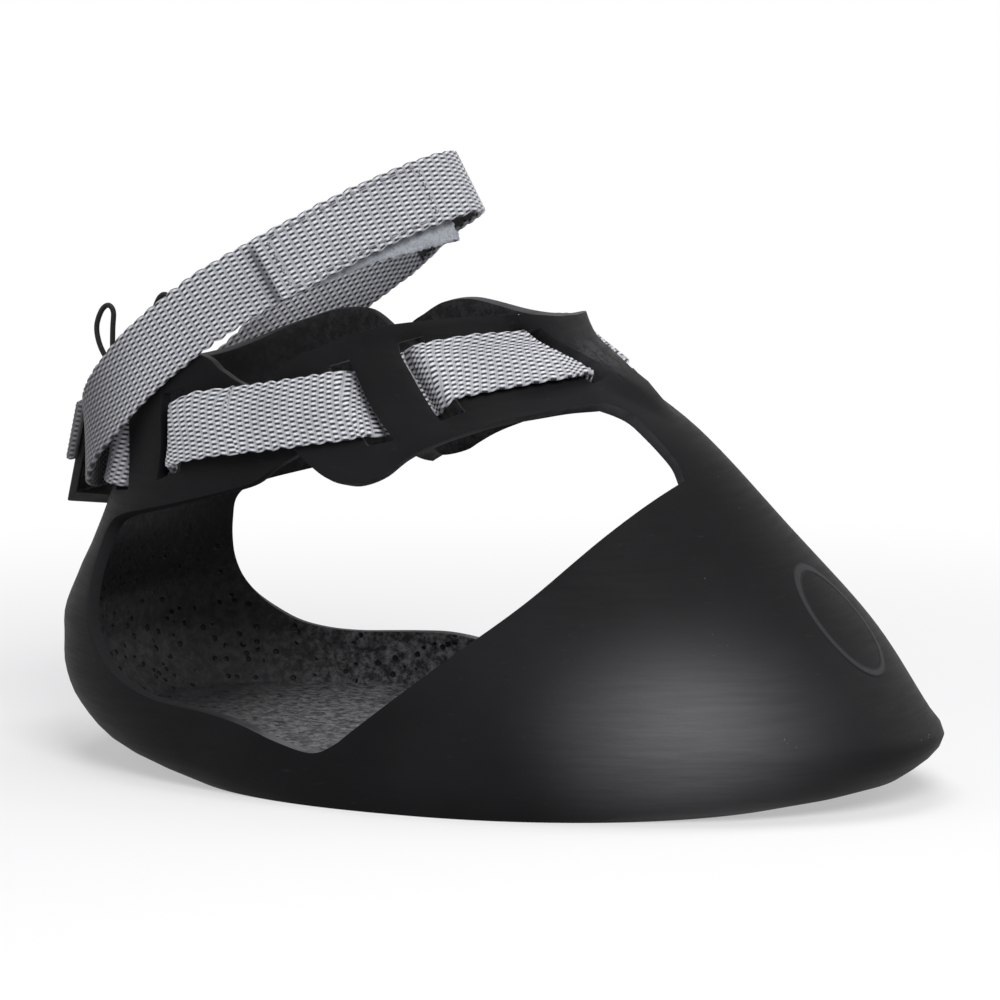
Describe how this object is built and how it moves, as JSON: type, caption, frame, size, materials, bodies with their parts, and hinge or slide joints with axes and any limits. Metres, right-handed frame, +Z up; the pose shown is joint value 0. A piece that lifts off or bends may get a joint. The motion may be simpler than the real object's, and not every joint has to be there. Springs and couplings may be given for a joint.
{
  "type": "horse hoof boot",
  "caption": "One-piece moulded horse hoof boot with open sides, a webbing strap laced round its collar and a tilted pastern ring strap in a rear keeper.",
  "frame": {"origin": "on the flat underside of the sole, at the middle of the boot's length, on the middle plane", "axes": "+X towards the toe, +Z up, the wall of the boot is symmetric about y = 0"},
  "size_m": [0.2412, 0.136, 0.1621],
  "materials": {
    "moulded_rubber": "satin, rough and pitted inside",
    "grey_webbing": "coarse woven webbing",
    "keeper_rubber": "matte",
    "black_cord": "matte cord",
    "hook_tape": "stiff hooks",
    "loop_tape": "soft pile",
    "inner_tape": "matte tape"
  },
  "bodies": {
    "boot": {"boot_shell": "moulded_rubber", "lacing_strap": "grey_webbing", "rear_keeper": "keeper_rubber", "keeper_wrap": "grey_webbing", "pull_loop_near": "black_cord", "pull_loop_far": "black_cord", "loop_knot_near": "black_cord", "loop_knot_far": "black_cord"},
    "ring": {"ring_strap": "grey_webbing", "loop_tape": "loop_tape", "inner_tape": "inner_tape"},
    "closing": {"closing_end": "grey_webbing", "hook_tape": "hook_tape"}
  },
  "joints": [
    {"name": "ring_swing", "type": "hinge", "parent": "boot", "child": "ring", "pos_m": [-0.11069, 0, 0.07976], "axis": [0, 1, 0], "range_deg": [-8, 6]},
    {"name": "closing_peel", "type": "hinge", "parent": "ring", "child": "closing", "pos_m": [-0.01015, -0.00018, 0.15435], "axis": [-0.5, 0, 0.866], "range_deg": [0, 90]}
  ]
}
